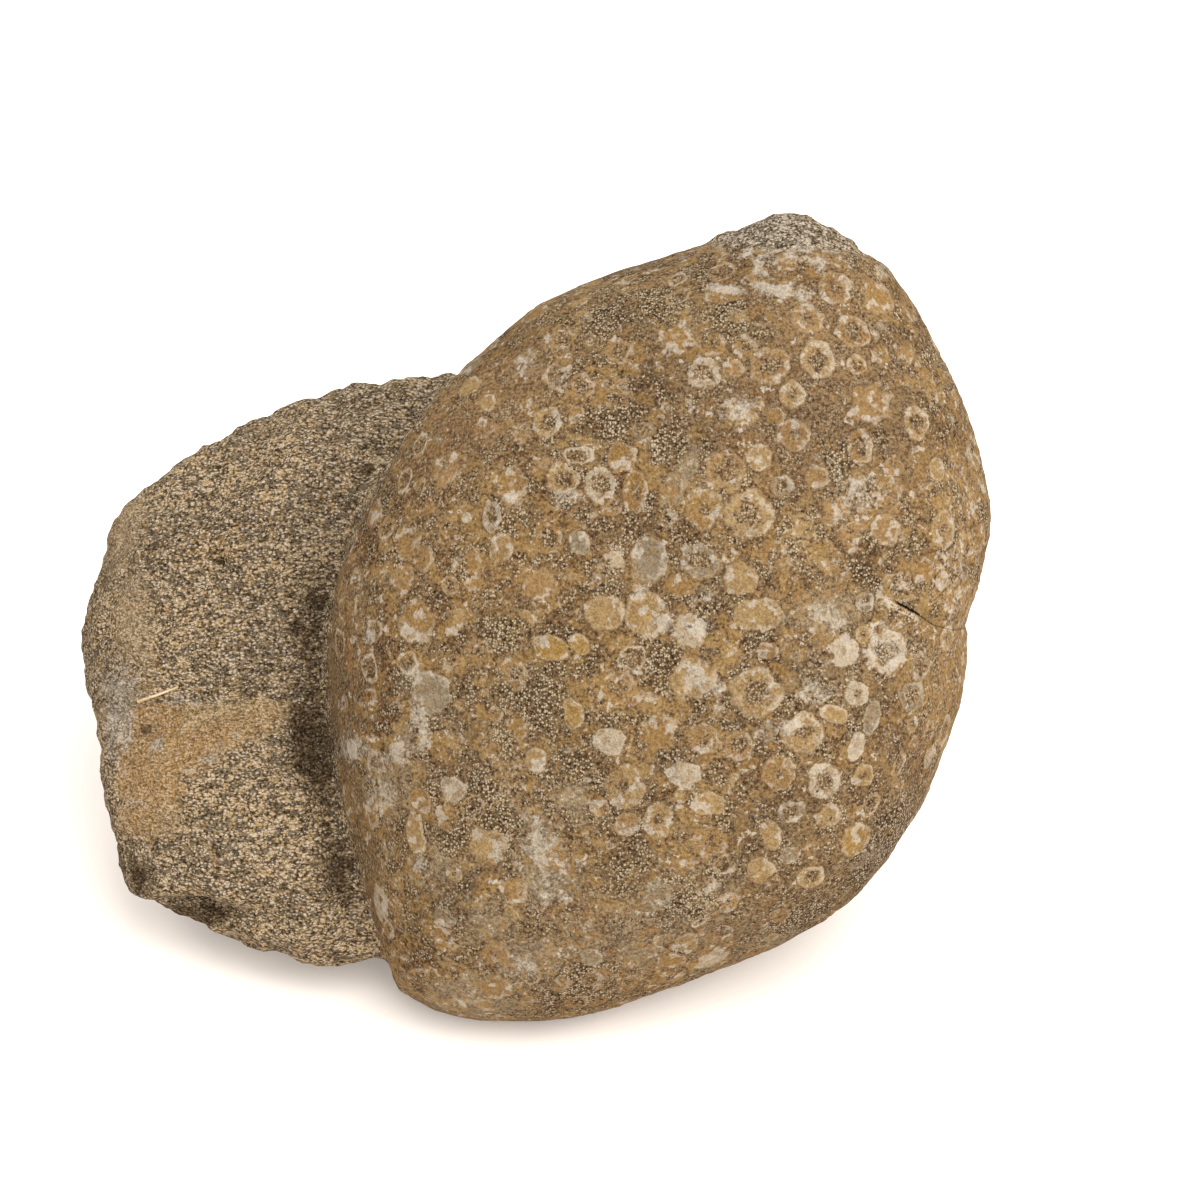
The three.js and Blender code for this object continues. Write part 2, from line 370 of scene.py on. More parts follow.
PATCHES: dict[Stain, tuple[Patch, ...]] = {
    Stain.GRIT: (
        Patch(-29.5, 1.5, 5.5, 3.4, -20), Patch(-22.4, -11.8, 8.5, 6, -25), Patch(-14.5, -22, 5, 9, 20, 0.8),
        Patch(-7.8, 42.4, 4, 6), Patch(2.5, 36.7, 4, 4), Patch(0.4, 64.2, 5.5, 3.6),
        Patch(-10.3, 60.8, 5, 3.2), Patch(1, -3.6, 4.2, 4.2), Patch(-30.2, -32.7, 4.6, 8.5, 20),
        Patch(-38, -37, 4, 5), Patch(-12.7, -64.6, 8, 4), Patch(6, -49, 10, 8, 10, 0.75),
        Patch(-6, -42, 9, 6, 0, 0.6), Patch(43.5, -38, 3.6, 12, -33, 1), Patch(27, -53, 9, 3, 28, 0.8),
        Patch(14, 61.7, 4.5, 4, 0, 0.9), Patch(39.5, 12.2, 5, 2.2, -40), Patch(35, 34.5, 5, 5, 0, 0.7),
        Patch(48.5, 71, 5, 5, 0, 0.8), Patch(2.6, 22, 3.5, 4.6, 0, 0.7), Patch(20.5, 0.4, 4, 3, 0, 0.6),
        Patch(9, -13, 3.5, 3, 0, 0.6), Patch(17.5, 58, 5, 4, 0, 0.6),
    ),
    Stain.OCHRE: (
        Patch(-29.5, 18, 12, 9, 0, 0.8), Patch(-34, 28, 8, 8, 0, 0.5), Patch(-3, -8, 11, 7, 0, 0.7),
        Patch(13, 24, 12, 9, 0, 0.6), Patch(-46.5, -46.5, 6, 6, 40, 0.9), Patch(37, -37.5, 5, 4.5, 0, 0.8),
        Patch(50, -8, 7, 12, 0, 0.7), Patch(53, 35, 8, 20, 0, 0.45), Patch(-18, -40, 9, 6, 0, 0.5),
        Patch(4, -60, 14, 5, 0, 0.5), Patch(-16, 12, 9, 5, 0, 0.6), Patch(42, 62, 7, 10, 0, 0.5),
        Patch(-58.7, 29.9, 1.6, 1.1, 0, 1.3), Patch(-81.3, 16.3, 1.6, 1.2, 0, 1.3),
        Patch(-99.4, -7.3, 2.2, 1.6, 0, 1.3), Patch(-96, 32, 7, 3.5, 20, 0.7), Patch(-84, 18, 8, 5, 20, 0.7),
        # The last patch on the next line is partly ochre stain and partly painted light on the dome's right
        # edge.
        Patch(-90, 5, 9, 4, 10, 0.6), Patch(56.5, 4, 4.5, 26, 0, 1.1),
    ),
    Stain.RUST: (
        Patch(-34, 11, 12, 5, 0, 0.6), Patch(-20.3, -52.3, 2, 1.6), Patch(52, -3, 6, 8, 0, 0.5),
        Patch(-22, 8, 8, 4, 0, 0.5),
    ),
    Stain.GREY: (
        Patch(-22.4, -37.4, 4.6, 6.5, 0, 0.8), Patch(-21, -46, 7.5, 6, 0, 0.9),
        Patch(-24, -60.6, 8, 5, 0, 0.9), Patch(-34.5, -68.5, 9, 5, 0, 1.1), Patch(-3.2, -58.9, 5, 4, 0, 0.8),
        Patch(9, -47, 9, 5, 10, 0.8), Patch(22, -57, 8, 3.5, 25, 0.7), Patch(-32, -53, 7, 6, 0, 0.7),
        Patch(-42, -43, 6, 8, 0, 0.65), Patch(-50, -26.6, 6, 8, 20, 0.7), Patch(-47, -19, 4, 4, 0, 0.7),
        Patch(-15.6, -30.4, 3.6, 5.5, 0, 0.8), Patch(33, 5, 9, 4.5, 0, 0.8), Patch(30, -8, 9, 7, 0, 0.6),
        Patch(4.8, 30.5, 1.6, 6.4, -25, 1.3), Patch(-100.5, -14, 7, 11, 10, 0.8),
        Patch(-101.5, 24, 5, 13, -12, 1), Patch(-99, 3, 5, 12, 0, 0.8), Patch(-88, 38.5, 13, 4, 35, 0.9),
        Patch(-66, 50.5, 13, 3.4, 22, 1), Patch(-48, 52, 10, 3, 5, 0.8), Patch(-2, -55, 28, 10, 6, 0.62),
    ),
    Stain.WHITE: (
        Patch(23, 77, 16, 5, -5, 0.8), Patch(13.5, 66.6, 3.4, 0.8, -8, 1.3),
        Patch(23, 66.4, 4.6, 0.9, -12, 1.4), Patch(27, 66, 3.6, 1.6, -20, 0.7),
        Patch(20, 71.2, 1.6, 1.6, 0, 0.9), Patch(31.2, 71.8, 1.9, 1.4, 0, 0.8),
        Patch(43, 70.3, 1.8, 1.6, 0, 0.8), Patch(-49.4, -21.4, 3, 1.6, 30, 0.9),
        Patch(-44.5, -16, 1.7, 5.5, 18, 0.9), Patch(-46.4, -6.5, 2.2, 1.8, 40, 1),
        Patch(-47, 1.9, 1.6, 1, 0, 1), Patch(-54.2, 0.6, 1.2, 1.2, 0, 1), Patch(-52, -30, 2.4, 3, 0, 0.7),
        Patch(-44.3, -42.6, 2, 1.6, 0, 0.8), Patch(-22, -38.5, 3, 5.5, 10, 0.75),
        Patch(-20, -47, 5, 4, 0, 0.5), Patch(1.6, 3.2, 1.6, 1.6, 0, 1.1), Patch(-3, 9, 1.2, 1.6, 0, 0.9),
        Patch(8.5, 2.4, 2, 1.6, 0, 0.9), Patch(6.6, -7.6, 1.4, 2.4, -20, 0.9),
        Patch(11.7, -9, 1.6, 1.6, 0, 0.8), Patch(25.2, -16.9, 2.2, 1.8, 0, 0.9),
        Patch(30, -10, 3, 2.4, 0, 0.7), Patch(33, 4, 4, 1.6, -20, 0.8), Patch(-25, -62, 3, 2, 0, 0.7),
        Patch(16, 43.5, 3.6, 2.4, -30, 0.8), Patch(38, 28.5, 4.6, 3.2, -30, 0.7),
        Patch(-57.6, -20.7, 2.6, 2.6, 0, 0.9), Patch(-27.5, 27, 1.4, 1.4), Patch(44, -1.5, 4.6, 4.2, 0, 0.7),
        Patch(-17, 27, 2, 1.6), Patch(-101.5, -9, 3.5, 4, 0, 0.9), Patch(-102, -14.5, 2.4, 7, 0, 1.3),
        Patch(-94.4, -20.2, 1.8, 1.2, 20, 0.9), Patch(-85, -22.5, 4, 1.2, 35, 0.7),
        Patch(-99, -31.5, 1.4, 1, 0, 0.8), Patch(-90, -11.5, 5, 0.9, 0, 0.8),
        Patch(-73.8, 11.2, 0.9, 0.9, 0, 0.8), Patch(-60.1, 43.3, 1, 0.8, 0, 0.7),
        # On the next line, the first patch is painted light on the dome's right edge, and the second is
        # partly chalk and partly painted light on the lobe's upper back edge.
        Patch(57, 12, 3.5, 22, -4, 0.45), Patch(-56, 47, 8, 3, 12, 0.9),
    ),
    Stain.DARK: (
        Patch(14, 55, 8, 6, 0, 1), Patch(36, -8, 12, 10, 0, 0.9), Patch(30, -40, 20, 13, 20, 1.3),
        Patch(24, -24, 14, 6, 20, 0.6), Patch(46, -22, 10, 14, 20, 0.6), Patch(36, 42, 18, 18, 0, 0.8),
        # On the next line, the first patch is painted shade in the notch under the lobe's lower left corner,
        # and the second darkens the lobe's lower left edge.
        Patch(-88, -52.5, 9, 2.6, 0, 1), Patch(-98.5, -45, 4.5, 8, 20, 0.6), Patch(8, 50, 14, 12, 0, 0.8),
        # Patch(-55.5, -42) on this line, Patch(-58.5, -14) on the next and Patch(-57, 8) below are painted
        # shade on the dome's edge beside the groove.
        Patch(-22, 50, 12, 7, 30, 0.4), Patch(-55.5, -42, 3.5, 17, 8, 0.5),
        Patch(-58.5, -14, 3.5, 13, 4, 0.7), Patch(-36.5, -16.5, 8.5, 2.8, -20, 1),
        Patch(-103.5, 15, 3, 12, 0, 0.45), Patch(-44, -28, 5, 6, 0, 0.4), Patch(40, 18, 12, 8, -20, 0.6),
        Patch(33, 45, 9, 9, 0, 0.5), Patch(-57, 8, 5, 14, 0, 0.5),
    ),
    Stain.BARE: (
        Patch(30, 46, 18, 20, 0, 1), Patch(47, 36, 8, 20, 0, 0.7), Patch(26, 64, 20, 9, 0, 0.9),
        Patch(8, 52, 12, 10, 0, 0.6), Patch(-59, 0, 6, 20, 0, 0.9), Patch(53, -5, 7, 14, 0, 0.5),
        Patch(-31, 44, 22, 9, 42, 0.9), Patch(45, -30, 6, 14, -30, 0.7), Patch(-4, -54, 34, 12, 6, 0.6),
        Patch(-56, -42, 3.6, 18, 8, 1.1),
    ),
}


@dataclass(frozen=True)
class Knob:
    """A pebble that stands out of the lobe's sand, or a pit in it, in millimetres on the coral face."""

    across: float
    up: float
    radius: float
    rise: float


KNOBS = (
    Knob(-64.8, 7.3, 1.3, -2.6),
    Knob(-68.2, 2.4, 1.4, -2.2),
    Knob(-54.9, 32.3, 1.3, -2.4),
    Knob(-95.3, 17.7, 1.0, -1.6),
    Knob(-96.9, -17.1, 1.0, -1.4),
    Knob(-82.8, 15.0, 0.9, -1.4),
    Knob(-66.5, -17.0, 1.6, -2.2),
    Knob(-66.0, -24.0, 1.8, -1.8),
    Knob(-98.0, -45.0, 1.3, -2.0),
    Knob(-58.7, 29.9, 1.4, 0.9),
    Knob(-73.8, 11.2, 0.9, 0.7),
    Knob(-81.3, 16.3, 1.4, 0.8),
    Knob(-73.8, 27.6, 1.0, 0.6),
    Knob(-60.1, 43.3, 1.0, 0.6),
    Knob(-99.4, -7.3, 1.6, 0.9),
)


# ------------------------------------------------------------------------------------------ mesh tools


class Piece:
    """One mesh object in the making, with the tools that shape it."""

    WEIGHT_STEPS = 400

    def __init__(self, obj: bpy.types.Object) -> None:
        """Takes the object over."""
        self.obj = obj

    @property
    def mesh(self) -> bpy.types.Mesh:
        """The piece's mesh."""
        return self.obj.data

    def select_only(self) -> None:
        """Deselects everything else and makes this piece active."""
        bpy.ops.object.select_all(action="DESELECT")
        self.obj.select_set(True)
        bpy.context.view_layer.objects.active = self.obj

    def apply(self, kind: str, **settings: object) -> None:
        """Adds a modifier, sets it and applies it.

        Args:
            kind: the modifier's type.
            settings: its properties by name.
        """
        self.select_only()
        bpy.ops.object.modifier_add(type=kind)
        modifier = self.obj.modifiers[-1]
        for name, value in settings.items():
            setattr(modifier, name, value)
        bpy.ops.object.modifier_apply(modifier=modifier.name)

    def points(self) -> np.ndarray:
        """Reads the vertices' places.

        Returns:
            One row a vertex, in metres.
        """
        flat = np.empty(len(self.mesh.vertices) * 3)
        self.mesh.vertices.foreach_get("co", flat)
        return flat.reshape(-1, 3)

    def faces(self) -> np.ndarray:
        """Reads the faces, which all have four corners.

        Returns:
            The corners' vertex numbers, one row a face.
        """
        flat = np.empty(len(self.mesh.loops), dtype=np.int32)
        self.mesh.loops.foreach_get("vertex_index", flat)
        return flat.reshape(-1, 4)

    def normals(self) -> np.ndarray:
        """Reads the faces' outward directions.

        Returns:
            One row a face.
        """
        flat = np.empty(len(self.mesh.polygons) * 3)
        self.mesh.polygons.foreach_get("normal", flat)
        return flat.reshape(-1, 3)

    def tree(self) -> BVHTree:
        """Returns the present surface, to shoot rays at."""
        return BVHTree.FromPolygons(self.points().tolist(), self.faces().tolist())

    def weigh(self, name: str, weights: np.ndarray) -> None:
        """Stores weights as a vertex group, in small steps.

        Args:
            name: the group's name.
            weights: one weight from 0 to 1 a vertex.
        """
        group = self.obj.vertex_groups.new(name=name)
        steps = np.rint(np.clip(weights, 0, 1) * self.WEIGHT_STEPS).astype(int)
        order = np.argsort(steps, kind="stable")
        edges = np.searchsorted(steps[order], np.arange(self.WEIGHT_STEPS + 2))
        for step in range(1, self.WEIGHT_STEPS + 1):
            members = order[edges[step]:edges[step + 1]]
            if len(members):
                group.add(members.tolist(), step / self.WEIGHT_STEPS, "REPLACE")

    def press(self, name: str, heights: np.ndarray) -> None:
        """Moves each vertex along its normal by its own height in millimetres.

        Args:
            name: what the relief is.
            heights: one height a vertex, more than 0 outwards.
        """
        for way, part in (("out", np.maximum(heights, 0)), ("in", np.maximum(-heights, 0))):
            most = float(part.max())
            if most > 0:
                group = f"{name} {way}"
                self.weigh(group, part / most)
                strength = most * MM if way == "out" else -most * MM
                self.apply("DISPLACE", vertex_group=group, mid_level=0.0, strength=strength)
                self.obj.vertex_groups.remove(self.obj.vertex_groups[group])

    def store(self, name: str, values: np.ndarray) -> None:
        """Stores one number a vertex for the finish to read."""
        attribute = self.mesh.attributes.new(name, "FLOAT", "POINT")
        attribute.data.foreach_set("value", values.astype(np.float32))

    def store_map(self, name: str, places: np.ndarray) -> None:
        """Stores a UV map, one row a face corner."""
        self.mesh.uv_layers.new(name=name).data.foreach_set("uv", places.astype(np.float32).ravel())

    def store_corners(self, name: str, kind: str, value: str, rows: np.ndarray) -> None:
        """Stores one row a face corner, as a data type and under what that type calls its value."""
        attribute = self.mesh.attributes.new(name, kind, "CORNER")
        attribute.data.foreach_set(value, rows.astype(np.float32).ravel())


def meet(tree: BVHTree, across: float, up: float) -> tuple[Vector | None, Vector | None]:
    """Finds where the line of sight through a spot on the coral face meets a surface.

    Args:
        tree: the surface.
        across: how far across the face the spot is, in millimetres.
        up: how far up the face it is.

    Returns:
        The place in metres and the outward direction there, or None for both.
    """
    eye = FACE.to_row(np.array(FACE.viewer))
    target = FACE.to_row(np.array([across, up, 0.0]))
    place, normal, _, _ = tree.ray_cast(Vector(eye), Vector(target - eye).normalized())
    return place, normal


# --------------------------------------------------------------------------------------------- finishes


class Sketch:
    """A node material being drawn up: short calls that add a node or two each."""

    def __init__(self, name: str) -> None:
        """Starts a material with a Principled surface.

        Args:
            name: the material's name.
        """
        self.material = bpy.data.materials.new(name)
        self.material.use_nodes = True
        self.nodes = self.material.node_tree.nodes
        self.links = self.material.node_tree.links
        self.surface = self.nodes["Principled BSDF"]
        self.place = self.nodes.new("ShaderNodeTexCoord").outputs["Object"]

    def feed(self, socket: Socket, value: Value) -> None:
        """Links a socket to an input, or sets the input to a number or colour.

        Args:
            socket: the input.
            value: what it gets.
        """
        if isinstance(value, bpy.types.NodeSocket):
            self.links.new(value, socket)
        else:
            socket.default_value = value

    def dress(self, inputs: dict[str, Value]) -> None:
        """Feeds the Principled surface's inputs by name."""
        for name, value in inputs.items():
            self.feed(self.surface.inputs[name], value)

    def add(self, kind: str, inputs: dict[str | int, Value], **settings: object) -> bpy.types.Node:
        """Adds a node.

        Args:
            kind: the node's type.
            inputs: what each of its inputs gets, by name or number.
            settings: the node's own properties.

        Returns:
            The new node.
        """
        node = self.nodes.new(kind)
        for name, value in settings.items():
            setattr(node, name, value)
        for name, value in inputs.items():
            self.feed(node.inputs[name], value)
        return node

    def calc(self, operation: str, first: Value, second: Value = 0.0, third: Value = 0.0) -> Socket:
        """Returns the result of one sum on numbers."""
        return self.add("ShaderNodeMath", {0: first, 1: second, 2: third}, operation=operation).outputs[0]

    def times(self, *factors: Value) -> Socket:
        """Multiplies numbers.

        Args:
            factors: two or more of them.

        Returns:
            Their product.
        """
        product = factors[0]
        for factor in factors[1:]:
            product = self.calc("MULTIPLY", product, factor)
        return product

    def linear(self, value: Value, slope: Value, start: Value) -> Socket:
        """Returns start plus slope times value."""
        return self.calc("MULTIPLY_ADD", value, slope, start)

    def sway(self, base: Value, ripple: Socket, amount: float) -> Socket:
        """Returns a number moved either way by noise around 0.5."""
        return self.linear(self.calc("SUBTRACT", ripple, 0.5), amount, base)

    def larger(self, first: Value, second: Value) -> Socket:
        """Returns the larger of two numbers."""
        return self.calc("MAXIMUM", first, second)

    def vector(self, operation: str, *terms: Value) -> Socket:
        """Returns the result of one sum on vectors."""
        return self.add("ShaderNodeVectorMath", dict(enumerate(terms)), operation=operation).outputs[0]

    def ramp(self, value: Value, low: float, high: float, first: float = 0.0, last: float = 1.0) -> Socket:
        """Eases a number from one amount to another.

        Args:
            value: what drives it.
            low: the value where it starts.
            high: the value where it ends.
            first: the amount up to low.
            last: the amount from high on.

        Returns:
            The amount.
        """
        inputs = {"Value": value, "From Min": low, "From Max": high, "To Min": first, "To Max": last}
        node = self.add("ShaderNodeMapRange", inputs, interpolation_type="SMOOTHSTEP")
        return node.outputs["Result"]

    def band(self, value: Value, middle: float, full: float, none: float) -> Socket:
        """Returns 1 where a value is within full of the middle, eased to 0 where it is none away from it."""
        return self.ramp(self.calc("ABSOLUTE", self.calc("SUBTRACT", value, middle)), full, none, 1.0, 0.0)

    def noise(self, size: float, seed: float = 0.0, detail: float = 2.0, rough: float = 0.55,
              where: Value | None = None, colour: bool = False) -> Socket:
        """Makes soft noise.

        Args:
            size: the size of its features in millimetres.
            seed: tells one noise from another.
            detail: how many finer layers it has.
            rough: how strong those are.
            where: the place to read it at, if not the stone's own.
            colour: True for three separate noises as a colour.

        Returns:
            A number or a colour around 0.5.
        """
        moved = self.vector("ADD", where or self.place, (0.37 * seed, 0.23 * seed, 0.11 * seed))
        inputs = {"Vector": moved, "Scale": 1 / (size * MM), "Detail": detail, "Roughness": rough}
        node = self.add("ShaderNodeTexNoise", inputs, noise_dimensions="3D")
        return node.outputs["Color" if colour else "Fac"]

    def grains(self, size: float, where: Value) -> tuple[Socket, Socket]:
        """Packs space with grains.

        Args:
            size: how far apart they are, in millimetres.
            where: the place to read them at.

        Returns:
            How far off its grain's middle each place is, and a random colour a grain.
        """
        inputs = {"Vector": where, "Scale": 1 / (size * MM), "Randomness": 1.0}
        node = self.add("ShaderNodeTexVoronoi", inputs, feature="F1")
        return node.outputs["Distance"], node.outputs["Color"]

    def mix(self, amount: Value, first: Value, second: Value) -> Socket:
        """Returns a colour that goes from first to second as amount goes from 0 to 1."""
        inputs = {0: amount, 6: first, 7: second}
        return self.add("ShaderNodeMix", inputs, data_type="RGBA", clamp_factor=True).outputs[2]

    def parts(self, colour: Value) -> tuple[Socket, Socket, Socket]:
        """Returns the three numbers that a colour or vector is made of."""
        node = self.add("ShaderNodeSeparateXYZ", {0: colour})
        return node.outputs[0], node.outputs[1], node.outputs[2]

    def field(self, name: str) -> Socket:
        """Returns one of the numbers stored on the mesh."""
        return self.add("ShaderNodeAttribute", {}, attribute_name=name).outputs["Fac"]

    def map(self, name: str) -> Socket:
        """Returns the place on one of the mesh's UV maps."""
        return self.add("ShaderNodeUVMap", {}, uv_map=name).outputs[0]

    def ragged(self, name: str, ripple: Socket, wobble: float = 1.4) -> Socket:
        """Returns a stored field as a patch from 0 to 1 whose edge wanders with the noise."""
        return self.ramp(self.sway(self.field(name), ripple, wobble), 0.3, 0.8)

    def bump(self, distance: float, height: Socket) -> Socket:
        """Returns the surface's direction with small relief on it, of a depth in metres."""
        inputs = {"Strength": 1.0, "Distance": distance, "Height": height}
        return self.add("ShaderNodeBump", inputs).outputs[0]


@dataclass(frozen=True)
class Textures:
    """The noises and grains that the stone's zones share.

    Attributes:
        blotch: noise of about 3 mm.
        speck: noise of about 1 mm.
        bend: three noises of about 2 mm, as a colour.
        gap: how far each place is from its grain's middle.
        shade: three random numbers a grain.
    """

    blotch: Socket
    speck: Socket
    bend: Socket
    gap: Socket
    shade: tuple[Socket, Socket, Socket]


@dataclass(frozen=True)
class FossilLimestone:
    """The boulder's finish: brown mottled coral limestone, coral rings, and coarse sandy matrix."""

    taupe: tuple[float, ...] = paint(142, 116, 87)
    brown: tuple[float, ...] = paint(150, 121, 91)
    umber: tuple[float, ...] = paint(102, 74, 51)
    ochre: tuple[float, ...] = paint(174, 141, 91)
    rust: tuple[float, ...] = paint(146, 100, 60)
    honey: tuple[float, ...] = paint(197, 169, 114)
    violet: tuple[float, ...] = paint(112, 92, 76)
    grey: tuple[float, ...] = paint(178, 170, 152)
    chalk: tuple[float, ...] = paint(246, 246, 242)
    pale: tuple[float, ...] = paint(244, 222, 172)
    grain: tuple[float, ...] = paint(246, 238, 220)
    gap: tuple[float, ...] = paint(46, 32, 23)
    # painted shade inside the crack
    crack_shade: tuple[float, ...] = paint(24, 18, 12)
    sand: tuple[float, ...] = paint(268, 236, 178)
    sand_light: tuple[float, ...] = paint(290, 280, 264)
    sand_dark: tuple[float, ...] = paint(62, 45, 8)
    sand_deep: tuple[float, ...] = paint(84, 62, 34)
    sand_dim: tuple[float, ...] = paint(205, 177, 124)
    sand_grey: tuple[float, ...] = paint(226, 209, 172)
    bed: tuple[float, ...] = paint(248, 198, 114)
    bed_pale: tuple[float, ...] = paint(262, 233, 176)
    grain_size: float = 0.45
    grain_bend: tuple[float, ...] = (0.0006, 0.0006, 0.0006)
    bedding: tuple[float, ...] = (0.62, 0.82, 1.0)
    roughness: float = 0.88
    specular: float = 0.04

    def make(self) -> bpy.types.Material:
        """Draws the whole finish.

        Returns:
            The finished material.
        """
        s = Sketch("fossil_limestone")
        blotch = s.noise(3.2, 3, 3, 0.66)
        speck = s.noise(0.6, 4, 2, 0.7)
        bend = s.noise(2.4, 11, 2, colour=True)
        coral = s.ramp(s.sway(s.field("coral"), blotch, 4.0), -0.4, 0.5)
        # Both zones read one set of grains: small and round on the coral, larger and bedded in the matrix.
        bedded = s.vector("MULTIPLY", s.place, self.bedding)
        choice = {0: s.calc("GREATER_THAN", coral, 0.5), 4: bedded, 5: s.place}
        spot = s.add("ShaderNodeMix", choice, data_type="VECTOR").outputs[1]
        gap, tint = s.grains(self.grain_size, s.vector("MULTIPLY_ADD", bend, self.grain_bend, spot))
        t = Textures(blotch, speck, bend, gap, s.parts(tint))
        zones = s.mix(coral, self._sand(s, t), self._coral(s, t))
        rough = s.ramp(s.field("coral"), -0.5, 0.5, 0.8, 0.16)
        height = s.times(gap, s.linear(s.field("grit"), 0.2, rough), -1.0)
        height = s.linear(speck, s.times(rough, 0.9), height)
        s.dress({"Base Color": self._crack(s, zones, speck), "Roughness": self.roughness,
                 "Specular IOR Level": self.specular, "Normal": s.bump(MM, height)})
        return s.material

    def _coral(self, s: Sketch, t: Textures) -> Socket:
        """Draws the coral: mottled ground, stains and some painted shade, tubes, and loose grit over them.

        Args:
            s: the material.
            t: its shared textures.

        Returns:
            The coral's colour.
        """
        veil = s.noise(1.7, 8, 3, 0.72)
        film = s.noise(4.0, 9, 3, 0.7)
        filmy = s.ramp(film, 0.52, 0.565)
        bare = s.ragged("bare", t.blotch, 1.0)
        worn = s.ragged("grey", veil, 1.7)
        ground = self._ground(s, t, veil, filmy)
        ground = s.mix(s.times(bare, 0.75), ground, self.brown)
        ground = s.mix(s.times(worn, 0.66), ground, self.grey)
        # The dark stain: violet mottling, and painted shade at the groove and along the dome's edge beside
        # it.
        ground = s.mix(s.times(s.ragged("dark", t.blotch), 0.55), ground, self.violet)
        fleck = s.times(s.ramp(film, 0.5, 0.6), s.ramp(veil, 0.57, 0.63), 0.85)
        ground = s.mix(fleck, ground, self.chalk)
        colour, fill, core = self._tubes(s, t, ground, veil, film)
        colour = s.mix(s.times(s.ragged("white", veil, 2.4), 0.75), colour, self.chalk)
        # Grit: loose pale grains and dark gaps, thick in patches and thin everywhere but on the tubes' walls.
        still = s.calc("MINIMUM", s.times(bare, -0.5), s.times(worn, -0.8))
        loose = s.times(s.ramp(film, 0.5, 0.42, 0.0, 0.85), s.calc("ADD", still, 1.0))
        patch = s.larger(s.larger(s.ragged("grit", t.blotch), s.times(core, 0.6)), loose)
        gritty = s.times(patch, s.linear(fill, -0.85, 1.0))
        colour = s.mix(s.times(gritty, 0.4), colour, self.umber)
        # Dark grains, and painted shade in the gaps between grains.
        dark = s.larger(s.ramp(t.shade[1], 0.6, 0.8, 0.0, 0.8), s.ramp(t.gap, 0.4, 0.62))
        colour = s.mix(s.times(dark, gritty, 0.85), colour, self.gap)
        light = s.times(s.ramp(t.gap, 0.6, 0.34), s.ramp(t.shade[0], 0.3, 0.5), gritty)
        colour = s.mix(light, colour, self.grain)
        # The finest texture, deeper in some places than in others, and calmer on walls and films.
        calm = s.larger(fill, s.times(filmy, 0.6))
        tide = s.calc("SUBTRACT", s.noise(13, 15, 2, 0.6), 0.5)
        deep = s.mix(s.linear(tide, 0.55, s.linear(calm, -0.18, 0.43)), colour, self.gap)
        high = s.mix(s.linear(tide, -0.5, s.linear(calm, -0.1, 0.27)), colour, self.pale)
        return s.mix(s.ramp(t.speck, 0.34, 0.66), deep, high)

    def _ground(self, s: Sketch, t: Textures, veil: Socket, filmy: Socket) -> Socket:
        """Draws the mottled limestone between the tubes, with its ochre, rusty and honey films.

        Args:
            s: the material.
            t: its shared textures.
            veil: noise of about 2 mm.
            filmy: where the honey film lies.

        Returns:
            The ground's colour.
        """
        mottle = s.noise(9, 2, 2, 0.6)
        ground = s.mix(s.ramp(mottle, 0.4, 0.58), self.umber, self.taupe)
        ground = s.mix(s.ramp(mottle, 0.54, 0.66, 0.0, 0.7), ground, self.violet)
        for stain, tone in (("ochre", self.ochre), ("rust", self.rust)):
            ground = s.mix(s.times(s.ragged(stain, t.blotch), 0.8), ground, tone)
        rusty = s.times(s.ramp(veil, 0.5, 0.6), s.ramp(mottle, 0.6, 0.45), 0.5)
        ground = s.mix(rusty, ground, self.rust)
        honey = s.mix(s.ramp(t.blotch, 0.44, 0.58), self.ochre, self.honey)
        return s.mix(s.times(filmy, 0.8), ground, honey)

    def _tubes(self, s: Sketch, t: Textures, ground: Socket, veil: Socket,
               film: Socket) -> tuple[Socket, Socket, Socket]:
        """Draws the cut coral tubes over the ground.

        Args:
            s: the material.
            t: its shared textures.
            ground: the colour between them.
            veil: noise of about 2 mm.
            film: noise of about 4 mm.

        Returns:
            The colour, how solid the tubes' walls are, and how gritty their cores are.
        """
        tone = s.add("ShaderNodeAttribute", {}, attribute_name="tone")
        strength = tone.outputs["Alpha"]
        hole, grit, rays = s.parts(s.add("ShaderNodeAttribute", {}, attribute_name="look").outputs[1])
        # Faint tubes are bent out of round more than clear ones.
        wander = s.vector("SUBTRACT", t.bend, (0.5, 0.5, 0.5))
        loose = s.ramp(strength, 0.25, 0.85, 2.6, 0.85)
        loose = s.add("ShaderNodeCombineXYZ", {0: loose, 1: loose}).outputs[0]
        x, y, _ = s.parts(s.vector("MULTIPLY_ADD", wander, loose, s.map("tube")))
        even = s.calc("SQRT", s.calc("ADD", s.times(x, x), s.times(y, y)))
        radius = s.sway(even, t.speck, 0.45)
        inside = s.ramp(radius, 0.92, 1.04, 1.0, 0.0)
        beyond_core = s.ramp(s.calc("SUBTRACT", radius, hole), -0.16, 0.1)
        worn = s.sway(s.sway(s.times(strength, 1.5), veil, -2.0), film, 1.6)
        fill = s.times(inside, beyond_core, s.ramp(worn, 0.2, 0.75))
        side = s.ramp(s.calc("ADD", s.parts(t.bend)[2], s.times(x, 0.12)), 0.5, 0.62)
        body = s.mix(s.ramp(veil, 0.52, 0.42, 0.0, 0.5), tone.outputs["Color"], self.ochre)
        body = s.mix(s.ramp(s.parts(t.bend)[0], 0.55, 0.62, 0.0, 0.75), body, self.chalk)
        colour = s.mix(s.times(fill, 0.95), ground, body)
